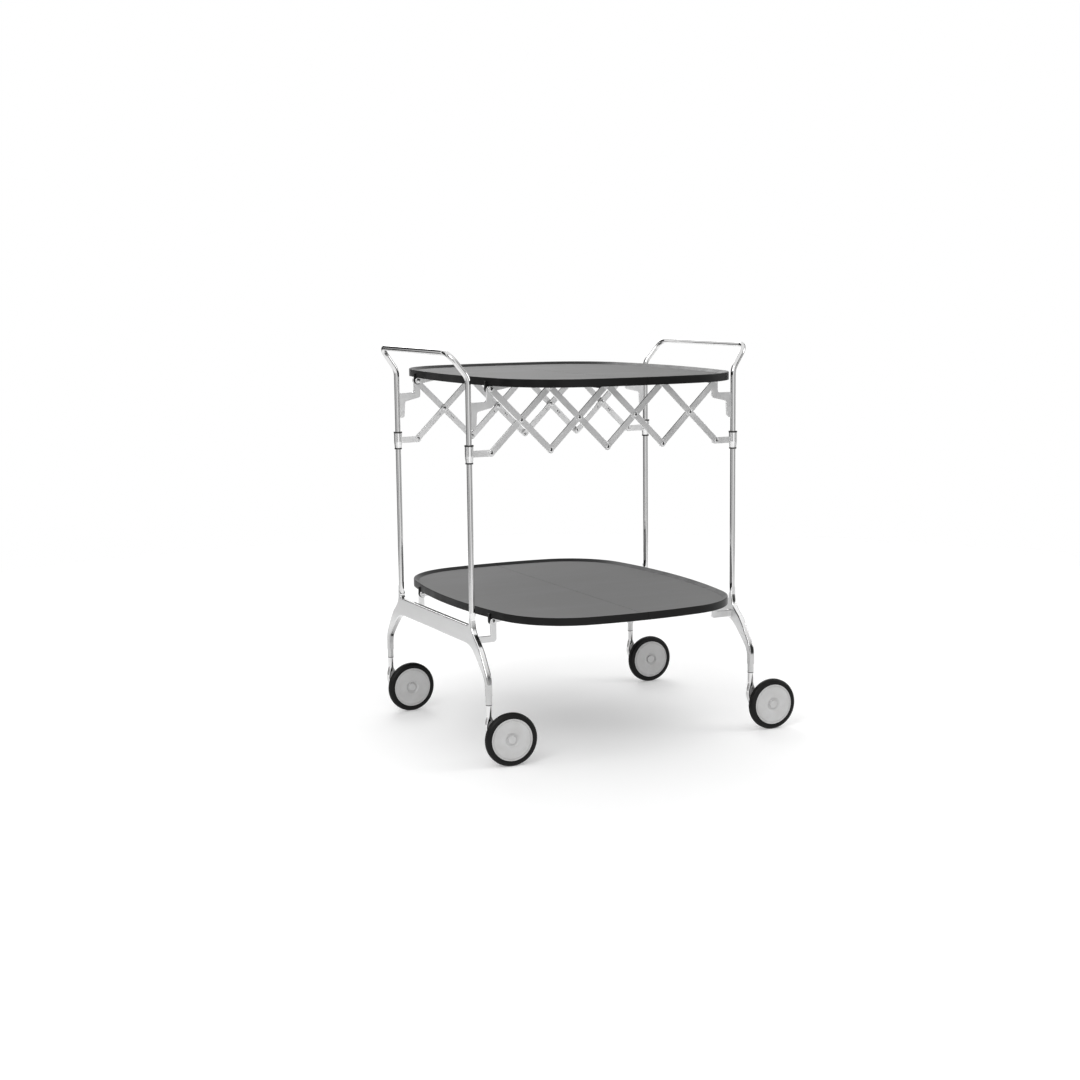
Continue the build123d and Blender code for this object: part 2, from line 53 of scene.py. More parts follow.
jointPlace = {joint["name"]: Vector(joint["pos_m"]) for joint in frame["joints"]}
jointAxis = {joint["name"]: Vector(joint["axis"]) for joint in frame["joints"]}
bodyOf = {node: body for body, members in frame["record"]["behaviour"]["bodies"].items() for node in members}
slotOf = {part["node"]: part["material_slot"] for part in frame["record"]["subparts"]}

leftPin = jointPlace["tray_fold"].x
rightPin = jointPlace["right_frame_hinge"].x
middle = (leftPin + rightPin) / 2
pitch = (rightPin - leftPin) / 4            # one crossing pair of the linkage
pivotHeights = {
    "top": jointPlace["tray_fold"].z,
    "cross": jointPlace["link_b1_pivot"].z,
    "low": jointPlace["collars_left_slide_pivot"].z,
    "shelf": jointPlace["lower_left_hinge"].z,
}
corners = [f"{side}_{end}" for side in ("left", "right") for end in ("front", "back")]
print("frame loaded,", len(nodes), "CAD nodes")


# ---------- small helpers for node trees ----------

def addNode(tree, kind, inputs=None, **settings):
    # inputs holds plain values or the output sockets to wire in
    node = tree.nodes.new(kind)
    for key, value in settings.items():
        setattr(node, key, value)
    for key, value in (inputs or {}).items():
        if isinstance(value, bpy.types.NodeSocket):
            tree.links.new(value, node.inputs[key])
        else:
            node.inputs[key].default_value = value
    return node


def maths(tree, operation, first, second=0.0):
    return addNode(tree, "ShaderNodeMath", {0: first, 1: second}, operation=operation).outputs[0]


def startMaterial(name):
    material = bpy.data.materials.new(name)
    material.use_nodes = True
    tree = material.node_tree
    return material, tree, tree.nodes["Principled BSDF"], addNode(tree, "ShaderNodeTexCoord")


def noise(tree, vector, scale, detail=3.0, roughness=0.5, distortion=0.0):
    inputs = {"Vector": vector, "Scale": scale, "Detail": detail, "Roughness": roughness,
              "Distortion": distortion}
    return addNode(tree, "ShaderNodeTexNoise", inputs).outputs["Fac"]


def stretched(tree, vector, scale, turn=(0.0, 0.0, 0.0)):
    inputs = {"Vector": vector, "Scale": scale, "Rotation": turn}
    return addNode(tree, "ShaderNodeMapping", inputs).outputs["Vector"]


def remap(tree, value, low, high, toLow=0.0, toHigh=1.0):
    inputs = {"Value": value, "From Min": low, "From Max": high, "To Min": toLow, "To Max": toHigh}
    return addNode(tree, "ShaderNodeMapRange", inputs).outputs["Result"]


def blendColours(tree, amount, first, second):
    # 6 and 7 are the colour inputs of the mix node, 2 its colour output
    return addNode(tree, "ShaderNodeMix", {0: amount, 6: first, 7: second}, data_type="RGBA").outputs[2]


def blendValues(tree, amount, first, second):
    return addNode(tree, "ShaderNodeMix", {0: amount, 2: first, 3: second}, data_type="FLOAT").outputs[0]


def grey(value, warmth=0.0):
    return (value * (1 + warmth), value, value * (1 - warmth), 1.0)


def raise3d(tree, shader, height, strength, distance, under=None):
    bump = addNode(tree, "ShaderNodeBump", {"Height": height, "Strength": strength, "Distance": distance})
    if under is not None:
        tree.links.new(under, bump.inputs["Normal"])
    tree.links.new(bump.outputs["Normal"], shader.inputs["Normal"])
    return bump.outputs["Normal"]


def hairScratches(tree, vector, scale, width):
    # thin lines where a bent noise passes through its middle value
    field = noise(tree, vector, scale, detail=1.0, distortion=0.4)
    away = maths(tree, "ABSOLUTE", maths(tree, "SUBTRACT", field, 0.5))
    return remap(tree, away, 0.0, width, 1.0, 0.0)


# ---------- finishes ----------

chromeLook = {
    "clean": 0.73, "dull": 0.55,            # reflectance of polished and tarnished chrome
    "roughPolished": 0.035, "roughSmudged": 0.17,
    "smudgeScale": 26.0, "drawScale": 420.0, "pitScale": 900.0,
}


def makeChrome():
    look = chromeLook
    material, tree, shader, coords = startMaterial("polishedChrome")
    place = coords.outputs["Object"]
    smudge = remap(tree, noise(tree, place, look["smudgeScale"], 4.0, 0.6), 0.52, 0.72)
    drawn = noise(tree, stretched(tree, place, (6.0, 6.0, 0.4)), look["drawScale"], 2.0)
    pits = remap(tree, noise(tree, place, look["pitScale"], 1.0), 0.76, 0.82)
    scratch = hairScratches(tree, place, 34.0, 0.004)
    rough = blendValues(tree, smudge, look["roughPolished"], look["roughSmudged"])
    rough = maths(tree, "ADD", rough, maths(tree, "MULTIPLY", scratch, 0.12))
    tree.links.new(rough, shader.inputs["Roughness"])
    worn = maths(tree, "MAXIMUM", maths(tree, "MULTIPLY", smudge, 0.35), pits)
    tint = blendColours(tree, worn, grey(look["clean"], 0.002), grey(look["dull"], 0.01))
    tree.links.new(tint, shader.inputs["Base Color"])
    shader.inputs["Metallic"].default_value = 1.0
    waves = raise3d(tree, shader, drawn, 0.018, 0.0002)
    raise3d(tree, shader, pits, 0.25, 0.0001, waves)
    return material


alloyLook = {
    "face": 0.77, "edge": 0.88,             # the flats are satin, the rims and feet are buffed
    # the brighter face tone is a painted highlight on the faces turned towards the middle of the cart
    "paintedLitFace": 0.95, "feetPaintedShade": 0.52,
    "roughFace": 0.40, "roughEdge": 0.13,
    "grainScale": 1500.0, "cloudScale": 24.0,
    "buffedBelow": 0.150, "satinAbove": 0.205,   # height over which the casting's feet turn from satin to polished and take their painted shade
}


def makeAlloy(name, faceAxis, buffedFeetWithShade=False, brightSleeve=0.0):
    look = alloyLook
    material, tree, shader, coords = startMaterial(name)
    place = coords.outputs["Object"]
    facing = addNode(tree, "ShaderNodeSeparateXYZ", {0: coords.outputs["Normal"]}).outputs[faceAxis]
    satin = remap(tree, maths(tree, "ABSOLUTE", facing), 0.86, 0.985)
    if buffedFeetWithShade:
        height = addNode(tree, "ShaderNodeSeparateXYZ", {0: place}).outputs["Z"]
        satin = maths(tree, "MULTIPLY", satin, remap(tree, height, look["buffedBelow"], look["satinAbove"]))
    if brightSleeve:
        # the sleeve round the leg is polished, the arm that leaves it is satin
        fromMiddle = maths(tree, "SUBTRACT", addNode(tree, "ShaderNodeSeparateXYZ", {0: place}).outputs["X"], middle)
        fromLeg = maths(tree, "SUBTRACT", brightSleeve, maths(tree, "ABSOLUTE", fromMiddle))
        satin = maths(tree, "MULTIPLY", satin, remap(tree, fromLeg, 0.0074, 0.0080))
    cloud = noise(tree, place, look["cloudScale"], 4.0, 0.6)
    grain = noise(tree, place, look["grainScale"], 2.0)
    scratch = maths(tree, "MULTIPLY", hairScratches(tree, place, 52.0, 0.003), satin)
    faceTone = blendColours(tree, cloud, grey(look["face"] * 0.90), grey(look["face"] * 1.10))
    faceTone = blendColours(tree, maths(tree, "MULTIPLY", grain, 0.35), faceTone, grey(look["face"] * 0.78))
    if faceAxis == "Y":
        # faces turned towards the middle of the cart are painted brighter, a painted highlight for the light that
        # falls on them from behind
        towards = maths(tree, "MULTIPLY", facing, addNode(tree, "ShaderNodeSeparateXYZ", {0: place}).outputs["Y"])
        litTowardsMiddle = maths(tree, "LESS_THAN", towards, 0.0)
        faceTone = blendColours(tree, litTowardsMiddle, faceTone, grey(look["paintedLitFace"]))
    edgeTone = grey(look["edge"])
    if buffedFeetWithShade:
        # painted shade: the buffed feet are painted darker near the floor, standing in for the darker reflections
        # they show
        low = remap(tree, height, look["buffedBelow"], look["satinAbove"], 1.0, 0.0)
        edgeTone = blendColours(tree, low, grey(look["edge"]), grey(look["feetPaintedShade"]))
    tint = blendColours(tree, satin, edgeTone, faceTone)
    tint = blendColours(tree, maths(tree, "MULTIPLY", scratch, 0.5), tint, grey(look["edge"]))
    tree.links.new(tint, shader.inputs["Base Color"])
    rough = blendValues(tree, satin, look["roughEdge"], look["roughFace"])
    rough = maths(tree, "ADD", rough, remap(tree, cloud, 0.3, 0.7, -0.05, 0.06))
    tree.links.new(rough, shader.inputs["Roughness"])
    shader.inputs["Metallic"].default_value = 1.0
    raise3d(tree, shader, maths(tree, "MULTIPLY", grain, satin), 0.16, 0.0002)
    return material


trayLook = {
    # the floor tone paints the upward tray floors lighter grey than the rims, mostly a painted reflection of the
    # bright room, partly dust and wear
    "tone": 0.005, "floorTone": 0.190, "dustTone": 0.225,
    "roughFloor": 0.55, "roughRim": 0.36,
    "sheenFloor": 0.04, "sheenRim": 0.18,
    "grainScale": 1150.0, "pebbleScale": 520.0, "wipeScale": 5.0,
}


def makeTrayPlastic():
    look = trayLook
    material, tree, shader, coords = startMaterial("blackTrayPlastic")
    place = coords.outputs["Object"]
    up = addNode(tree, "ShaderNodeSeparateXYZ", {0: coords.outputs["Normal"]}).outputs["Z"]
    flat = remap(tree, up, 0.90, 0.99)
    pebble = noise(tree, place, look["pebbleScale"], 3.0, 0.55)
    grain = noise(tree, place, look["grainScale"], 2.0)
    wiped = noise(tree, stretched(tree, place, (1.0, 5.0, 1.0), (0.0, 0.0, 0.35)), look["wipeScale"], 5.0, 0.62)
    scratch = maths(tree, "MULTIPLY", hairScratches(tree, place, 13.0, 0.0016), flat)
    dust = maths(tree, "MULTIPLY", remap(tree, wiped, 0.45, 0.80, 0.0, 0.32), flat)
    # painted reflection: upward-facing floors take the lighter floor tone, which also carries some dust and wear
    tint = blendColours(tree, flat, grey(look["tone"]), grey(look["floorTone"]))
    tint = blendColours(tree, dust, tint, grey(look["dustTone"], 0.03))
    tint = blendColours(tree, maths(tree, "MULTIPLY", scratch, 0.12), tint, grey(0.30))
    tree.links.new(tint, shader.inputs["Base Color"])
    rough = blendValues(tree, flat, look["roughRim"], look["roughFloor"])
    rough = maths(tree, "ADD", rough, remap(tree, wiped, 0.3, 0.7, -0.05, 0.06))
    tree.links.new(rough, shader.inputs["Roughness"])
    sheen = remap(tree, flat, 0.0, 1.0, look["sheenRim"], look["sheenFloor"])
    tree.links.new(sheen, shader.inputs["Specular IOR Level"])
    leather = raise3d(tree, shader, pebble, 0.22, 0.0004)
    raise3d(tree, shader, grain, 0.12, 0.0002, leather)
    return material


rubberLook = {"tone": 0.004, "dusty": 0.032, "grainScale": 1400.0, "dustScale": 160.0}


def makeRubber():
    look = rubberLook
    material, tree, shader, coords = startMaterial("blackTyreRubber")
    place = coords.outputs["Object"]
    tread = addNode(tree, "ShaderNodeAttribute", attribute_name="tread").outputs["Fac"]
    specks = remap(tree, noise(tree, place, look["dustScale"], 6.0, 0.7), 0.42, 0.75)
    dust = maths(tree, "MULTIPLY", specks, remap(tree, tread, 0.0, 1.0, 0.10, 0.55))
    tint = blendColours(tree, dust, grey(look["tone"]), grey(look["dusty"], 0.04))
    tree.links.new(tint, shader.inputs["Base Color"])
    rough = remap(tree, tread, 0.0, 1.0, 0.36, 0.60)
    rough = maths(tree, "ADD", rough, maths(tree, "MULTIPLY", specks, 0.12))
    tree.links.new(rough, shader.inputs["Roughness"])
    shader.inputs["Specular IOR Level"].default_value = 0.18
    raise3d(tree, shader, noise(tree, place, look["grainScale"], 3.0), 0.20, 0.0002)
    return material


hubLook = {"tone": 0.52, "shade": 0.45, "grainScale": 900.0, "rough": 0.42}


def makeHubPlastic():
    look = hubLook
    material, tree, shader, coords = startMaterial("greyHubPlastic")
    place = coords.outputs["Object"]
    flow = noise(tree, place, 38.0, 4.0, 0.6)
    grain = noise(tree, place, look["grainScale"], 2.0)
    scuff = hairScratches(tree, place, 70.0, 0.004)
    tint = blendColours(tree, remap(tree, flow, 0.35, 0.75), grey(look["tone"]), grey(look["shade"], 0.01))
    tint = blendColours(tree, maths(tree, "MULTIPLY", scuff, 0.25), tint, grey(0.62))
    tree.links.new(tint, shader.inputs["Base Color"])
    rough = remap(tree, flow, 0.3, 0.7, look["rough"] - 0.05, look["rough"] + 0.08)
    tree.links.new(rough, shader.inputs["Roughness"])
    raise3d(tree, shader, grain, 0.10, 0.0002)
    return material


def makeSmallPlastic(name, tone, rough):
    material, tree, shader, coords = startMaterial(name)
    place = coords.outputs["Object"]
    cloud = noise(tree, place, 300.0, 3.0)
    tree.links.new(blendColours(tree, cloud, grey(tone), grey(tone * 1.8)), shader.inputs["Base Color"])
    tree.links.new(remap(tree, cloud, 0.3, 0.7, rough - 0.06, rough + 0.08), shader.inputs["Roughness"])
    raise3d(tree, shader, noise(tree, place, 1600.0, 2.0), 0.15, 0.0001)
    return material


# the recess tone is a painted shade for the inside of the cross recess
screwLook = {"tone": 0.74, "worn": 0.42, "recessPaintedShade": 0.02, "rough": 0.10}


def makeScrewSteel():
    look = screwLook
    material, tree, shader, coords = startMaterial("brightScrewSteel")
    place = coords.outputs["Object"]
    recessPaintedShade = addNode(tree, "ShaderNodeAttribute", attribute_name="recessPaintedShade").outputs["Fac"]
    turned = noise(tree, place, 1100.0, 3.0, 0.6)
    tint = blendColours(tree, remap(tree, turned, 0.45, 0.75), grey(look["tone"]), grey(look["worn"]))
    # painted shade: the recess faces are painted near black, for the shade inside the cross recess
    tint = blendColours(tree, recessPaintedShade, tint, grey(look["recessPaintedShade"]))
    tree.links.new(tint, shader.inputs["Base Color"])
    rough = remap(tree, turned, 0.3, 0.7, look["rough"], look["rough"] + 0.12)
    tree.links.new(rough, shader.inputs["Roughness"])
    shader.inputs["Metallic"].default_value = 1.0
    raise3d(tree, shader, turned, 0.12, 0.0001)
    return material


finishes = {
    "chromed_steel": makeChrome(),
    "cast_aluminium": makeAlloy("satinCastAlloy", "X", buffedFeetWithShade=True),
    "satin_aluminium": makeAlloy("satinBarAlloy", "Y"),
    "polished_rivets": makeScrewSteel(),
    "black_plastic": makeTrayPlastic(),
    "black_rings": makeSmallPlastic("blackRingPlastic", 0.012, 0.42),
    "dark_bush": makeSmallPlastic("darkBushPlastic", 0.05, 0.45),
    "grey_hub": makeHubPlastic(),
    "tyre_rubber": makeRubber(),
}
sleeveRadius = 0.0076       # of a collar, round its leg
legMiddle = (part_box("collar_left_front")[0].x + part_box("collar_left_back")[0].x) / 2 + sleeveRadius
collarFinish = makeAlloy("polishedCollarAlloy", "Y", brightSleeve=middle - legMiddle)
for name, node in nodes.items():
    isCollar = name.startswith(("collar_left", "collar_right"))
    node.data.materials.clear()
    node.data.materials.append(collarFinish if isCollar else finishes[slotOf[name]])
print("finishes made and given to the CAD nodes:", len(finishes))


# ---------- geometry node trees ----------

def startTree(name, sockets):
    # sockets: name, kind, first value
    tree = bpy.data.node_groups.new(name, "GeometryNodeTree")
    tree.interface.new_socket("Geometry", in_out="INPUT", socket_type="NodeSocketGeometry")
    for label, kind, value in sockets:
        socket = tree.interface.new_socket(label, in_out="INPUT", socket_type="NodeSocket" + kind)
        if value is not None:
            socket.default_value = value
    tree.interface.new_socket("Geometry", in_out="OUTPUT", socket_type="NodeSocketGeometry")
    given = tree.nodes.new("NodeGroupInput")
    return tree, given.outputs


def endTree(tree, geometry, material):
    realized = addNode(tree, "GeometryNodeRealizeInstances", {"Geometry": geometry}).outputs[0]
    painted = addNode(tree, "GeometryNodeSetMaterial", {"Geometry": realized, "Material": material}).outputs[0]
    addNode(tree, "NodeGroupOutput", {"Geometry": painted})


def readAttribute(tree, name, kind):
    return addNode(tree, "GeometryNodeInputNamedAttribute", {"Name": name}, data_type=kind).outputs["Attribute"]


def grow(name, tree, settings, points, attributes):
    # puts the tree on loose points, then keeps only the plain mesh that comes out
    base = bpy.data.meshes.new(name + "Points")
    base.from_pydata([tuple(p) for p in points], [], [])
    for key, (kind, values) in attributes.items():
        layer = base.attributes.new(key, kind, "POINT")
        for item, value in zip(layer.data, values):
            if kind == "FLOAT_VECTOR":
                item.vector = value
            else:
                item.value = value
    piece = bpy.data.objects.new(name, base)
    bpy.context.scene.collection.objects.link(piece)
    modifier = piece.modifiers.new("shape", "NODES")
    modifier.node_group = tree
    for item in tree.interface.items_tree:
        if item.in_out == "INPUT" and item.name in settings:
            modifier[item.identifier] = settings[item.name]
    graph = bpy.context.evaluated_depsgraph_get()
    mesh = bpy.data.meshes.new_from_object(piece.evaluated_get(graph))
    piece.modifiers.clear()
    piece.data = mesh
    mesh.name = name
    return piece


def smoothen(piece, angle=32.0):
    piece.data.polygons.foreach_set("use_smooth", [True] * len(piece.data.polygons))
    piece.data.set_sharp_from_angle(angle=math.radians(angle))


# ---------- screws, rivets and pins ----------

screwSizes = {
    "Head Radius": 0.0039, "Edge Height": 0.0009, "Dome Height": 0.0006,
    "Recess Length": 0.0048, "Recess Width": 0.0015, "Recess Depth": 0.0011,
    "Shank Radius": 0.0025, "Segments": 28, "Turn Seed": 5, "Recessed": True,
    "Metal": finishes["polished_rivets"],
}


def buildScrewTree():
    tree, given = startTree("screwsAndPins", [
        ("Head Radius", "Float", 0.004), ("Edge Height", "Float", 0.001), ("Dome Height", "Float", 0.0006),
        ("Recess Length", "Float", 0.0044), ("Recess Width", "Float", 0.0008), ("Recess Depth", "Float", 0.0008),
        ("Shank Radius", "Float", 0.0025), ("Segments", "Int", 24), ("Turn Seed", "Int", 0),
        ("Recessed", "Bool", True), ("Metal", "Material", None)])
    radius, edge, dome = given["Head Radius"], given["Edge Height"], given["Dome Height"]
    # domed head standing on its own base plane
    blank = addNode(tree, "GeometryNodeMeshCylinder",
                    {"Vertices": given["Segments"], "Side Segments": 1, "Fill Segments": 4,
                     "Radius": radius, "Depth": edge},
                    fill_type="TRIANGLE_FAN").outputs["Mesh"]
    where = addNode(tree, "ShaderNodeSeparateXYZ", {0: addNode(tree, "GeometryNodeInputPosition").outputs[0]}).outputs
    squares = [maths(tree, "MULTIPLY", where[axis], where[axis]) for axis in (0, 1)]
    across = maths(tree, "ADD", *squares)
    share = maths(tree, "DIVIDE", across, maths(tree, "MULTIPLY", radius, radius))
    crown = maths(tree, "MULTIPLY", dome, maths(tree, "SUBTRACT", 1.0, share))
    isTop = maths(tree, "GREATER_THAN", where[2], 0.0)
    crowned = maths(tree, "ADD", maths(tree, "MULTIPLY", edge, 0.5), maths(tree, "MULTIPLY", crown, isTop))
    lift = addNode(tree, "ShaderNodeCombineXYZ", {2: crowned}).outputs[0]
    domed = addNode(tree, "GeometryNodeSetPosition", {"Geometry": blank, "Offset": lift}).outputs[0]
    # cross recess cut into the dome
    top = addNode(tree, "ShaderNodeCombineXYZ", {2: maths(tree, "ADD", edge, dome)}).outputs[0]
    depth = maths(tree, "MULTIPLY", given["Recess Depth"], 2.0)
    cutters = []
    arm = (given["Recess Length"], given["Recess Width"])
    for long, wide in (arm, arm[::-1]):
        size = addNode(tree, "ShaderNodeCombineXYZ", {0: long, 1: wide, 2: depth}).outputs[0]
        bar = addNode(tree, "GeometryNodeMeshCube", {"Size": size}).outputs[0]
        cutters.append(addNode(tree, "GeometryNodeTransform", {"Geometry": bar, "Translation": top}).outputs[0])
    cut = addNode(tree, "GeometryNodeMeshBoolean", {"Mesh 1": domed}, operation="DIFFERENCE")
    for cutter in cutters:
        tree.links.new(cutter, cut.inputs["Mesh 2"])
    # faces that lie deeper than the dome are marked as the recess, where shade is painted
    surface = maths(tree, "ADD", edge, crown)
    deep = maths(tree, "GREATER_THAN", maths(tree, "SUBTRACT", surface, where[2]), 0.0001)
    limit = maths(tree, "POWER", maths(tree, "MULTIPLY", given["Recess Length"], 0.6), 2.0)
    near = maths(tree, "LESS_THAN", across, limit)
    above = maths(tree, "GREATER_THAN", where[2], 0.00001)
    inside = maths(tree, "MULTIPLY", maths(tree, "MULTIPLY", deep, near), above)
    marked = addNode(tree, "GeometryNodeStoreNamedAttribute",
                     {"Geometry": cut.outputs[0], "Name": "recessPaintedShade", "Value": inside},
                     data_type="FLOAT", domain="FACE").outputs[0]
    head = addNode(tree, "GeometryNodeSwitch", {"Switch": given["Recessed"], "False": domed, "True": marked},
                   input_type="GEOMETRY").outputs[0]
    # heads at the points, turned at random about their own axis
    aim = readAttribute(tree, "aim", "FLOAT_VECTOR")
    reach = readAttribute(tree, "reach", "FLOAT")
    facing = addNode(tree, "FunctionNodeAlignRotationToVector", {"Vector": aim}, axis="Z").outputs[0]
    heads = addNode(tree, "GeometryNodeInstanceOnPoints",
                    {"Points": given["Geometry"], "Instance": head, "Rotation": facing}).outputs[0]
    spin = addNode(tree, "FunctionNodeRandomValue", {"Max": math.pi, "Seed": given["Turn Seed"]}, data_type="FLOAT")
    turn = addNode(tree, "ShaderNodeCombineXYZ", {2: spin.outputs[1]}).outputs[0]
    heads = addNode(tree, "GeometryNodeRotateInstances", {"Instances": heads, "Rotation": turn}).outputs[0]
    # one shank behind each head, as long as its reach
    rod = addNode(tree, "GeometryNodeMeshCylinder",
                  {"Vertices": given["Segments"], "Radius": given["Shank Radius"], "Depth": 1.0}).outputs["Mesh"]
    rod = addNode(tree, "GeometryNodeTransform", {"Geometry": rod, "Translation": (0.0, 0.0, -0.5)}).outputs[0]
    length = addNode(tree, "ShaderNodeCombineXYZ", {0: 1.0, 1: 1.0, 2: reach}).outputs[0]
    shanks = addNode(tree, "GeometryNodeInstanceOnPoints",
                     {"Points": given["Geometry"], "Instance": rod, "Rotation": facing, "Scale": length}).outputs[0]
    # plain head at the far end of the shank
    back = addNode(tree, "ShaderNodeVectorMath", {0: aim, "Scale": maths(tree, "MULTIPLY", reach, -1.0)},
                   operation="SCALE").outputs[0]
    shifted = addNode(tree, "GeometryNodeSetPosition", {"Geometry": given["Geometry"], "Offset": back}).outputs[0]
    away = addNode(tree, "ShaderNodeVectorMath", {0: aim, "Scale": -1.0}, operation="SCALE").outputs[0]
    turned = addNode(tree, "FunctionNodeAlignRotationToVector", {"Vector": away}, axis="Z").outputs[0]
    tails = addNode(tree, "GeometryNodeInstanceOnPoints",
                    {"Points": shifted, "Selection": readAttribute(tree, "tail", "BOOLEAN"),
                     "Instance": domed, "Rotation": turned}).outputs[0]
    joined = addNode(tree, "GeometryNodeJoinGeometry")
    for part in (heads, shanks, tails):
        tree.links.new(part, joined.inputs[0])
    endTree(tree, joined.outputs[0], given["Metal"])
    return tree


screwTree = buildScrewTree()
headHeight = screwSizes["Edge Height"] + screwSizes["Dome Height"]
layers = {
    # distances from the middle plane, front and back alike
    "barThick": 0.0025, "plateThick": 0.0015, "clear": 0.0001, "snug": 0.00005,
    "outerBar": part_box("link_a1")[1].y, "innerBar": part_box("link_b1")[1].y,
    "bracketOut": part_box("upper_bracket_left_back")[1].y,
    "bracketIn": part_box("upper_bracket_left_back")[0].y,
    "lugIn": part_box("upper_bracket_left_back")[0].y - 0.0053,    # inner face of the tray's lugs
}
layers["plateIn"] = layers["lugIn"] - layers["plateThick"] - layers["clear"]
barOutside = layers["outerBar"] + layers["snug"]
barInside = layers["innerBar"] - layers["barThick"] - layers["snug"]
spacerSizes = dict(screwSizes)
spacerSizes.update({
    "Shank Radius": 0.0038, "Edge Height": 0.00005, "Dome Height": 0.00001, "Recessed": False})


def pinRun(x, height, outer, inner, tail=True):
    # one pin at the front and its twin at the back; x counts in bays of the linkage
    return [((middle + x * pitch, end * outer, pivotHeights[height]), (0, end, 0), outer - inner, tail)
            for end in (-1, 1)]


def growPins(name, body, sizes, runs):
    places, aims, reaches, tails = zip(*runs)
    piece = grow(name, screwTree, sizes, places, {
        "aim": ("FLOAT_VECTOR", aims), "reach": ("FLOAT", reaches), "tail": ("BOOLEAN", tails)})
    smoothen(piece)
    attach(piece, body)
    return piece


throughBoth = (barOutside, barInside)
outerOnly = (barOutside, layers["outerBar"] - layers["barThick"], False)
pinRuns = {
    "rivets_a1": pinRun(-1.5, "cross", *throughBoth) + pinRun(-1, "low", *throughBoth),
    "rivets_a2": (pinRun(-0.5, "cross", *throughBoth) + pinRun(-1, "top", *throughBoth)
                  + pinRun(0, "low", *outerOnly)),
    "rivets_a3": pinRun(0, "top", *outerOnly),
    "rivets_b3": pinRun(0.5, "cross", *throughBoth) + pinRun(1, "top", *throughBoth),
    "rivets_b4": pinRun(1.5, "cross", *throughBoth) + pinRun(1, "low", *throughBoth),
}
for side, x in (("left", -2), ("right", 2)):
    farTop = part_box(f"hinge_pins_{side}")[1].y - headHeight
    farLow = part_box(f"collar_pins_{side}")[1].y - headHeight
    pinRuns[f"hinge_pins_{side}"] = (pinRun(x, "top", farTop, layers["plateIn"])
                                     + pinRun(x, "shelf", layers["bracketOut"], layers["plateIn"]))
    pinRuns[f"collar_pins_{side}"] = pinRun(x, "low", farLow, layers["bracketIn"])
for node, runs in pinRuns.items():
    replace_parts(growPins(node + "_heads", bodyOf[node], screwSizes, runs), node)

# spacers fill the gap where an outer bar is pinned to a bracket or a collar
gap = (layers["outerBar"] - layers["barThick"] - layers["clear"], layers["bracketOut"] + layers["clear"], False)
growPins("spacers_top", bodyOf["hinge_pins_left"], spacerSizes, pinRun(-2, "top", *gap))
growPins("spacers_low", bodyOf["collar_pins_right"], spacerSizes, pinRun(2, "low", *gap))
print("pins, rivets and spacers made for", len(pinRuns), "nodes")

shortShank = 0.001          # of studs and plate screws, which end inside the metal
studs = {
    "Head Radius": 0.0019, "Edge Height": 0.0001, "Dome Height": 0.0001, "Shank Radius": 0.0012,
    "Segments": 16, "Recessed": False,
    "outerAt": (0.0205, 0.0255), "innerAt": (-0.0145,),      # past the crossing, along the bar
}
studSizes = dict(screwSizes)
studSizes.update({key: value for key, value in studs.items() if key in screwSizes})


def studRun(bay, layer, stops, slope):
    rise = (pivotHeights["low"] - pivotHeights["top"]) * slope
    along = Vector((pitch, 0.0, rise)).normalized()
    crossing = Vector((middle + (bay - 2.5) * pitch, 0.0, pivotHeights["cross"]))
    runs = []
    for end in (-1, 1):
        for stop in stops:
            spot = crossing + along * stop
            runs.append(((spot.x, end * layer, spot.z), (0, -end, 0), shortShank, False))
    return runs


for bay in range(1, 5):
    outerInside = layers["outerBar"] - layers["barThick"]
    innerInside = layers["innerBar"] - layers["barThick"]
    growPins(f"studs_a{bay}", f"link_a{bay}", studSizes, studRun(bay, outerInside, studs["outerAt"], 1))
    growPins(f"studs_b{bay}", f"link_b{bay}", studSizes, studRun(bay, innerInside, studs["innerAt"], -1))
print("stop studs set on the eight pairs of bars")


# ---------- hinge plates under the trays ----------

hingePlate = {
    "eyeRadius": 0.0061, "length": 0.060, "tipLow": 0.0045, "top": 0.0083,   # from the pin's axis
    "tipLength": 0.002, "tipRise": 0.0015, "eyeNeck": 0.004,
    "eyeSteps": 14, "edge": 0.00035, "screwsAt": (0.024, 0.045), "screwHeight": 0.0056,
}
plateScrews = dict(screwSizes)
plateScrews.update({"Head Radius": 0.0021, "Edge Height": 0.0003, "Dome Height": 0.0004,
                    "Recess Length": 0.0026, "Recess Width": 0.0006, "Recess Depth": 0.0005, "Shank Radius": 0.001})


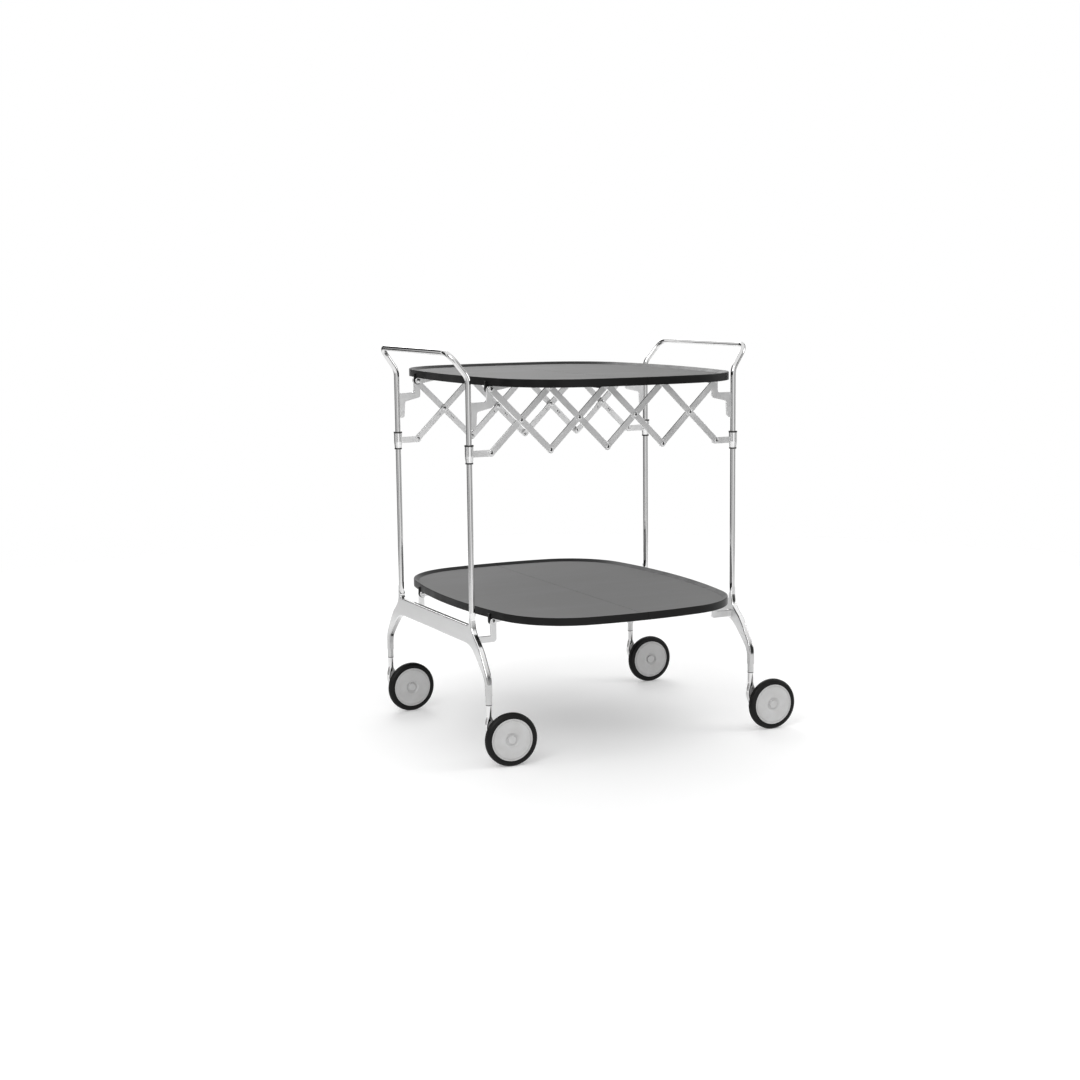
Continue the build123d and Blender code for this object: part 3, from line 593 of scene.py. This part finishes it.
def cutPlate(name, body, pinX, pinZ, inward):
    look = hingePlate
    outline = []
    for step in range(look["eyeSteps"] + 1):
        # round the eye from its top, over the outer side, to its underside
        angle = math.radians(90 + 185 * step / look["eyeSteps"])
        outline.append((look["eyeRadius"] * math.cos(angle), look["eyeRadius"] * math.sin(angle)))
    tip = look["length"] + look["tipLength"]
    outline += [(look["length"], look["tipLow"]), (tip, look["tipLow"] + look["tipRise"]),
                (tip, look["top"]), (look["eyeNeck"], look["top"])]
    shape = bmesh.new()
    for end in (-1, 1):
        near = [shape.verts.new((pinX + inward * x, end * (layers["lugIn"] - layers["snug"]), pinZ + z))
                for x, z in outline]
        face = shape.faces.new(near)
        grown = bmesh.ops.extrude_face_region(shape, geom=[face])
        moved = [v for v in grown["geom"] if isinstance(v, bmesh.types.BMVert)]
        bmesh.ops.translate(shape, verts=moved, vec=(0.0, -end * layers["plateThick"], 0.0))
    bmesh.ops.recalc_face_normals(shape, faces=shape.faces)
    mesh = bpy.data.meshes.new(name)
    shape.to_mesh(mesh)
    shape.free()
    mesh.materials.append(finishes["satin_aluminium"])
    piece = bpy.data.objects.new(name, mesh)
    bpy.context.scene.collection.objects.link(piece)
    bevel = piece.modifiers.new("softEdge", "BEVEL")
    bevel.width, bevel.segments, bevel.limit_method = look["edge"], 2, "ANGLE"
    smoothen(piece)
    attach(piece, body)
    runs = []
    for end in (-1, 1):
        for stop in look["screwsAt"]:
            across = end * (layers["lugIn"] - layers["plateThick"])
            place = (pinX + inward * stop, across, pinZ + look["screwHeight"])
            runs.append((place, (0, -end, 0), shortShank, False))
    growPins(name + "_screws", body, plateScrews, runs)


for level, height in (("upper", "top"), ("lower", "shelf")):
    cutPlate(f"hinge_plates_{level}_left", f"tray_{level}_left", leftPin, pivotHeights[height], 1)
    cutPlate(f"hinge_plates_{level}_right", f"tray_{level}_right", rightPin, pivotHeights[height], -1)
print("hinge plates cut and screwed to the trays")


# ---------- wheels ----------

tyreShape = {
    "segments": 112, "rubberDepth": 0.010, "halfWidth": 0.0075, "treadFrom": 0.0466,
    # half section: share of the rubber's depth from hub to tread, share of the half width
    "half": ((0.0, 0.90), (0.06, 0.93), (0.13, 0.975), (0.19, 0.965), (0.235, 0.915), (0.28, 0.915), (0.33, 0.955),
             (0.45, 0.965), (0.58, 0.94), (0.70, 0.88), (0.80, 0.79), (0.88, 0.68), (0.94, 0.56), (0.98, 0.44),
             (1.0, 0.34), (1.0, 0.29), (0.955, 0.27), (0.955, 0.22), (1.0, 0.20), (1.0, 0.04)),
}
spokes = {
    "Rib Count": 12, "Inner Radius": 0.0078, "Outer Radius": 0.0351, "Rib Thickness": 0.0016,
    "Rib Depth": 0.0072, "Ring Radius": 0.0215, "Segments": 72, "Plastic": finishes["grey_hub"],
}
webFromMiddle = 0.0025      # back of the hub's web, outwards from the middle of the tyre


def turnTyre(place):
    look = tyreShape
    low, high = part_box(f"tyre_{place}")
    centre, outerRadius = (low + high) / 2, (high.z - low.z) / 2
    hubRadius = outerRadius - look["rubberDepth"]
    axle = jointAxis[f"spin_{place}"]
    rubber = outerRadius - hubRadius
    section = [(hubRadius + share * rubber, side * look["halfWidth"]) for share, side in look["half"]]
    section += [(radius, -along) for radius, along in reversed(section)]
    facing = axle.to_track_quat("Z", "Y").to_matrix()
    shape = bmesh.new()
    rings = []
    for step in range(look["segments"]):
        angle = 2 * math.pi * step / look["segments"]
        out = facing @ Vector((math.cos(angle), math.sin(angle), 0.0))
        rings.append([shape.verts.new(centre + out * radius + axle * along) for radius, along in section])
    for near, far in zip(rings, rings[1:] + rings[:1]):
        for k in range(len(section)):
            after = (k + 1) % len(section)
            shape.faces.new((near[k], near[after], far[after], far[k]))
    bmesh.ops.recalc_face_normals(shape, faces=shape.faces)
    mesh = bpy.data.meshes.new(f"tyre_{place}_turned")
    shape.to_mesh(mesh)
    shape.free()
    tread = mesh.attributes.new("tread", "FLOAT", "POINT")
    for item, vert in zip(tread.data, mesh.vertices):
        away = vert.co - centre
        item.value = 1.0 if (away - axle * away.dot(axle)).length > look["treadFrom"] else 0.0
    mesh.materials.append(finishes["tyre_rubber"])
    piece = bpy.data.objects.new(f"tyre_{place}_turned", mesh)
    bpy.context.scene.collection.objects.link(piece)
    smoothen(piece, 40.0)
    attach(piece, f"wheel_{place}")
    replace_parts(piece, f"tyre_{place}")


def buildSpokeTree():
    tree, given = startTree("hubRibs", [
        ("Rib Count", "Int", 12), ("Inner Radius", "Float", 0.008), ("Outer Radius", "Float", 0.035),
        ("Rib Thickness", "Float", 0.0016), ("Rib Depth", "Float", 0.007), ("Ring Radius", "Float", 0.02),
        ("Segments", "Int", 64), ("Plastic", "Material", None)])
    inner, outer, depth = given["Inner Radius"], given["Outer Radius"], given["Rib Depth"]
    span = maths(tree, "SUBTRACT", outer, inner)
    size = addNode(tree, "ShaderNodeCombineXYZ", {0: span, 1: given["Rib Thickness"], 2: depth}).outputs[0]
    rib = addNode(tree, "GeometryNodeMeshCube", {"Size": size}).outputs[0]
    # the free edge is thinner, as on any moulded rib
    where = addNode(tree, "ShaderNodeSeparateXYZ", {0: addNode(tree, "GeometryNodeInputPosition").outputs[0]}).outputs
    free = maths(tree, "LESS_THAN", where[2], 0.0)
    thin = addNode(tree, "ShaderNodeCombineXYZ",
                   {1: maths(tree, "MULTIPLY", maths(tree, "MULTIPLY", where[1], free), -0.4)}).outputs[0]
    rib = addNode(tree, "GeometryNodeSetPosition", {"Geometry": rib, "Offset": thin}).outputs[0]
    drop = addNode(tree, "ShaderNodeCombineXYZ", {2: maths(tree, "MULTIPLY", depth, -0.5)}).outputs[0]
    rib = addNode(tree, "GeometryNodeTransform", {"Geometry": rib, "Translation": drop}).outputs[0]
    middleRadius = maths(tree, "MULTIPLY", maths(tree, "ADD", inner, outer), 0.5)
    spots = addNode(tree, "GeometryNodeMeshCircle",
                    {"Vertices": given["Rib Count"], "Radius": middleRadius}).outputs[0]
    outwards = addNode(tree, "GeometryNodeInputPosition").outputs[0]
    turned = addNode(tree, "FunctionNodeAlignRotationToVector", {"Vector": outwards}, axis="X").outputs[0]
    ribs = addNode(tree, "GeometryNodeInstanceOnPoints",
                   {"Points": spots, "Instance": rib, "Rotation": turned}).outputs[0]
    # one round rib ties the straight ones together
    rail = addNode(tree, "GeometryNodeCurvePrimitiveCircle",
                   {"Resolution": given["Segments"], "Radius": given["Ring Radius"]}).outputs[0]
    band = addNode(tree, "GeometryNodeCurvePrimitiveQuadrilateral",
                   {"Width": given["Rib Thickness"], "Height": maths(tree, "MULTIPLY", depth, 0.7)}).outputs[0]
    ring = addNode(tree, "GeometryNodeCurveToMesh", {"Curve": rail, "Profile Curve": band}).outputs[0]
    lower = addNode(tree, "ShaderNodeCombineXYZ", {2: maths(tree, "MULTIPLY", depth, -0.35)}).outputs[0]
    ring = addNode(tree, "GeometryNodeTransform", {"Geometry": ring, "Translation": lower}).outputs[0]
    wheel = addNode(tree, "GeometryNodeJoinGeometry")
    for part in (ribs, ring):
        tree.links.new(part, wheel.inputs[0])
    aim = readAttribute(tree, "aim", "FLOAT_VECTOR")
    facing = addNode(tree, "FunctionNodeAlignRotationToVector", {"Vector": aim}, axis="Z").outputs[0]
    placed = addNode(tree, "GeometryNodeInstanceOnPoints",
                     {"Points": given["Geometry"], "Instance": wheel.outputs[0], "Rotation": facing}).outputs[0]
    endTree(tree, placed, given["Plastic"])
    return tree


spokeTree = buildSpokeTree()
for place in corners:
    turnTyre(place)
    low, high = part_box(f"tyre_{place}")
    axle = jointAxis[f"spin_{place}"]
    ribs = grow(f"hub_ribs_{place}", spokeTree, spokes, [(low + high) / 2 + axle * webFromMiddle],
                {"aim": ("FLOAT_VECTOR", [axle])})
    smoothen(ribs)
    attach(ribs, f"wheel_{place}")
print("tyres turned and hub ribs made for", len(corners), "wheels")


# ---------- camera, lights and floor ----------

shot = {
    "aimHeight": 0.315, "distance": 3.4189,
    "yaw": 26.94, "pitch": 8.81, "roll": -0.54,          # degrees
    "lens": 59.77, "shiftX": -0.0234, "shiftY": 0.0156,
}


def placeCamera():
    yaw, tilt, roll = (math.radians(shot[key]) for key in ("yaw", "pitch", "roll"))
    ahead = Vector((math.sin(yaw) * math.cos(tilt), math.cos(yaw) * math.cos(tilt), -math.sin(tilt)))
    flatRight = Vector((math.cos(yaw), -math.sin(yaw), 0.0))
    flatUp = flatRight.cross(ahead)
    right = flatRight * math.cos(roll) + flatUp * math.sin(roll)
    up = flatUp * math.cos(roll) - flatRight * math.sin(roll)
    place = Vector((middle, 0.0, shot["aimHeight"])) - ahead * shot["distance"]
    turn = Matrix((right, up, -ahead)).transposed().to_4x4()
    data = bpy.data.cameras.new("productCamera")
    data.lens, data.sensor_width = shot["lens"], 36.0
    data.shift_x, data.shift_y = shot["shiftX"], shot["shiftY"]
    data.clip_end = 60.0
    camera = bpy.data.objects.new("productCamera", data)
    camera.matrix_world = Matrix.Translation(place) @ turn
    bpy.context.scene.collection.objects.link(camera)
    bpy.context.scene.camera = camera


studio = {
    "backdrop": 1.0, "roomLight": 0.95, "darkWall": 0.03,
    # black flags round the studio: middle and half width, degrees from +X towards +Y
    "flags": ((350, 20), (304, 8), (226, 6), (190, 7), (143, 18), (101, 9), (28, 7)),
    "softEdge": 4.0,
    "floorGlow": 0.25, "ceiling": 1.0, "floorTone": 0.82, "floorRadius": 2.6, "floorFade": 1.2,
}


def lightRoom():
    world = bpy.data.worlds.new("studioRoom")
    bpy.context.scene.world = world
    world.use_nodes = True
    tree = world.node_tree
    tree.nodes.clear()
    look = addNode(tree, "ShaderNodeTexCoord").outputs["Generated"]
    sides = addNode(tree, "ShaderNodeSeparateXYZ", {0: look}).outputs
    bearing = maths(tree, "ARCTAN2", sides[1], sides[0])
    share = maths(tree, "FRACT", maths(tree, "DIVIDE", bearing, 2 * math.pi))
    ramp = addNode(tree, "ShaderNodeValToRGB", {0: share})
    ramp.color_ramp.elements[0].color = grey(studio["roomLight"])
    ramp.color_ramp.elements[1].color = grey(studio["roomLight"])
    for centre, half in studio["flags"]:
        for offset, value in ((-half - studio["softEdge"], studio["roomLight"]), (-half, studio["darkWall"]),
                              (half, studio["darkWall"]), (half + studio["softEdge"], studio["roomLight"])):
            stop = ramp.color_ramp.elements.new(((centre + offset) / 360.0) % 1.0)
            stop.color = grey(value)
    # flags stand on the floor, the ceiling is one soft light
    overhead = remap(tree, sides[2], 0.45, 0.75)
    wall = blendColours(tree, overhead, ramp.outputs[0], grey(studio["ceiling"]))
    seen = addNode(tree, "ShaderNodeLightPath").outputs["Is Camera Ray"]
    mixed = blendColours(tree, seen, wall, grey(studio["backdrop"]))
    background = addNode(tree, "ShaderNodeBackground", {"Color": mixed})
    output = addNode(tree, "ShaderNodeOutputWorld")
    tree.links.new(background.outputs[0], output.inputs["Surface"])


softboxes = {
    # size, power in watts, place and the point it looks at
    "keyBox": (1.6, 34.0, (-2.2, -2.0, 2.3), (0.0, 0.0, 0.4)),
    "sideBox": (1.2, 14.0, (2.6, -1.2, 1.5), (0.0, 0.0, 0.4)),
    "backBox": (1.6, 20.0, (0.6, 2.8, 2.2), (0.0, 0.0, 0.4)),
}


def hangSoftboxes():
    for name, (size, power, place, aim) in softboxes.items():
        data = bpy.data.lights.new(name, "AREA")
        data.shape, data.size, data.size_y, data.energy = "RECTANGLE", size, size, power
        lamp = bpy.data.objects.new(name, data)
        lamp.location = place
        lamp.rotation_euler = (Vector(aim) - Vector(place)).to_track_quat("-Z", "Y").to_euler()
        bpy.context.scene.collection.objects.link(lamp)


def layFloor():
    mesh = bpy.data.meshes.new("paleFloor")
    shape = bmesh.new()
    bmesh.ops.create_circle(shape, cap_ends=True, segments=96, radius=studio["floorRadius"])
    shape.to_mesh(mesh)
    shape.free()
    floor = bpy.data.objects.new("paleFloor", mesh)
    bpy.context.scene.collection.objects.link(floor)
    material, tree, shader, coords = startMaterial("palePaper")
    place = coords.outputs["Object"]
    tone = studio["floorTone"]
    tint = blendColours(tree, noise(tree, place, 3.0, 4.0), grey(tone), grey(tone * 1.03))
    tree.links.new(tint, shader.inputs["Base Color"])
    shader.inputs["Roughness"].default_value = 0.7
    tree.links.new(tint, shader.inputs["Emission Color"])
    shader.inputs["Emission Strength"].default_value = studio["floorGlow"]
    away = addNode(tree, "ShaderNodeVectorMath", {0: place}, operation="LENGTH").outputs["Value"]
    fade = remap(tree, away, studio["floorFade"], studio["floorRadius"] * 0.98)
    clear = addNode(tree, "ShaderNodeBsdfTransparent")
    mixed = addNode(tree, "ShaderNodeMixShader", {0: fade, 1: shader.outputs[0], 2: clear.outputs[0]})
    output = next(n for n in tree.nodes if n.type == "OUTPUT_MATERIAL")
    tree.links.new(mixed.outputs[0], output.inputs["Surface"])
    mesh.materials.append(material)


placeCamera()
lightRoom()
hangSoftboxes()
layFloor()
bpy.context.scene.view_settings.view_transform = "Standard"
print("camera, lights and floor in place")
